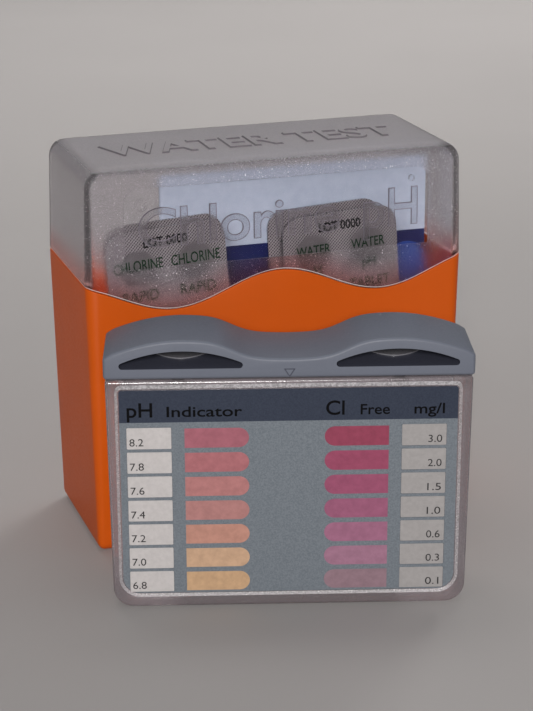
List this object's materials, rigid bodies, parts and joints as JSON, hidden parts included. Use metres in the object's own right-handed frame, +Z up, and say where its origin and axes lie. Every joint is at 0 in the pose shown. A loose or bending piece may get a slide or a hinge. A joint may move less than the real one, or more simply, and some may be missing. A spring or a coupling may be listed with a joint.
{
  "type": "water test kit",
  "caption": "Pool water test kit: wavy-edged case with a clear lift-off lid, a colour comparator with sealing cap, tablet strips and a leaflet.",
  "frame": {"origin": "on the table, at the middle of the case's foot", "axes": "+Z up, -Y out of the case's front, +X to the right seen from the front"},
  "size_m": [0.1203, 0.114, 0.1164],
  "materials": {
    "base_orange": "moulded orange plastic, fine satin texture",
    "lid_clear": "clear plastic, frosted outside with a polished window",
    "comparator_clear": "polished clear plastic",
    "scale_print": "grey film with a printed colour scale",
    "diffuser_white": "white translucent film",
    "cap_grey": "grey moulded plastic, satin",
    "seal_rubber": "soft black rubber",
    "leaflet_paper": "coated printed paper",
    "strip_foil": "knurled heat-sealed foil",
    "strip_web": "formed strip backing",
    "tablet": "pressed powder"
  },
  "bodies": {
    "case": {"case_base": "base_orange"},
    "lid": {"case_lid": "lid_clear"},
    "comparator": {"comparator_body": "comparator_clear", "scale_card": "scale_print", "rear_diffuser": "diffuser_white"},
    "cap": {"comparator_cap": "cap_grey", "seal_left": "seal_rubber", "seal_centre": "seal_rubber", "seal_right": "seal_rubber"},
    "leaflet": {"leaflet_cover": "leaflet_paper", "leaflet_pages": "leaflet_paper"},
    "chlorine_strip_1": {"chlorine_strip_1_foil": "strip_foil", "chlorine_strip_1_web": "strip_web", "chlorine_strip_1_tablet_01": "tablet", "chlorine_strip_1_tablet_02": "tablet", "chlorine_strip_1_tablet_03": "tablet", "chlorine_strip_1_tablet_04": "tablet", "chlorine_strip_1_tablet_05": "tablet", "chlorine_strip_1_tablet_06": "tablet", "chlorine_strip_1_tablet_07": "tablet", "chlorine_strip_1_tablet_08": "tablet", "chlorine_strip_1_tablet_09": "tablet", "chlorine_strip_1_tablet_10": "tablet"},
    "chlorine_strip_2": {"chlorine_strip_2_foil": "strip_foil", "chlorine_strip_2_web": "strip_web", "chlorine_strip_2_tablet_01": "tablet", "chlorine_strip_2_tablet_02": "tablet", "chlorine_strip_2_tablet_03": "tablet", "chlorine_strip_2_tablet_04": "tablet", "chlorine_strip_2_tablet_05": "tablet", "chlorine_strip_2_tablet_06": "tablet", "chlorine_strip_2_tablet_07": "tablet", "chlorine_strip_2_tablet_08": "tablet", "chlorine_strip_2_tablet_09": "tablet", "chlorine_strip_2_tablet_10": "tablet"},
    "ph_strip_1": {"ph_strip_1_foil": "strip_foil", "ph_strip_1_web": "strip_web", "ph_strip_1_tablet_01": "tablet", "ph_strip_1_tablet_02": "tablet", "ph_strip_1_tablet_03": "tablet", "ph_strip_1_tablet_04": "tablet", "ph_strip_1_tablet_05": "tablet", "ph_strip_1_tablet_06": "tablet", "ph_strip_1_tablet_07": "tablet", "ph_strip_1_tablet_08": "tablet", "ph_strip_1_tablet_09": "tablet", "ph_strip_1_tablet_10": "tablet"},
    "ph_strip_2": {"ph_strip_2_foil": "strip_foil", "ph_strip_2_web": "strip_web", "ph_strip_2_tablet_01": "tablet", "ph_strip_2_tablet_02": "tablet", "ph_strip_2_tablet_03": "tablet", "ph_strip_2_tablet_04": "tablet", "ph_strip_2_tablet_05": "tablet", "ph_strip_2_tablet_06": "tablet", "ph_strip_2_tablet_07": "tablet", "ph_strip_2_tablet_08": "tablet", "ph_strip_2_tablet_09": "tablet", "ph_strip_2_tablet_10": "tablet"}
  },
  "joints": [
    {"name": "lid_lift", "type": "slide", "parent": "case", "child": "lid", "axis": [0, 0, 1], "range_m": [0, 0.06]},
    {"name": "comparator_lift", "type": "slide", "parent": "case", "child": "comparator", "axis": [0, 0, 1], "range_m": [0, 0.06]},
    {"name": "cap_lift", "type": "slide", "parent": "comparator", "child": "cap", "axis": [0, 0, 1], "range_m": [0, 0.03]},
    {"name": "leaflet_lift", "type": "slide", "parent": "case", "child": "leaflet", "axis": [0, 0, 1], "range_m": [0, 0.002]},
    {"name": "chlorine_strip_1_lift", "type": "slide", "parent": "case", "child": "chlorine_strip_1", "axis": [0, 0, 1], "range_m": [0, 0.012]},
    {"name": "chlorine_strip_2_lift", "type": "slide", "parent": "case", "child": "chlorine_strip_2", "axis": [0, 0, 1], "range_m": [0, 0.012]},
    {"name": "ph_strip_1_lift", "type": "slide", "parent": "case", "child": "ph_strip_1", "axis": [0, 0, 1], "range_m": [0, 0.012]},
    {"name": "ph_strip_2_lift", "type": "slide", "parent": "case", "child": "ph_strip_2", "axis": [0, 0, 1], "range_m": [0, 0.012]}
  ]
}
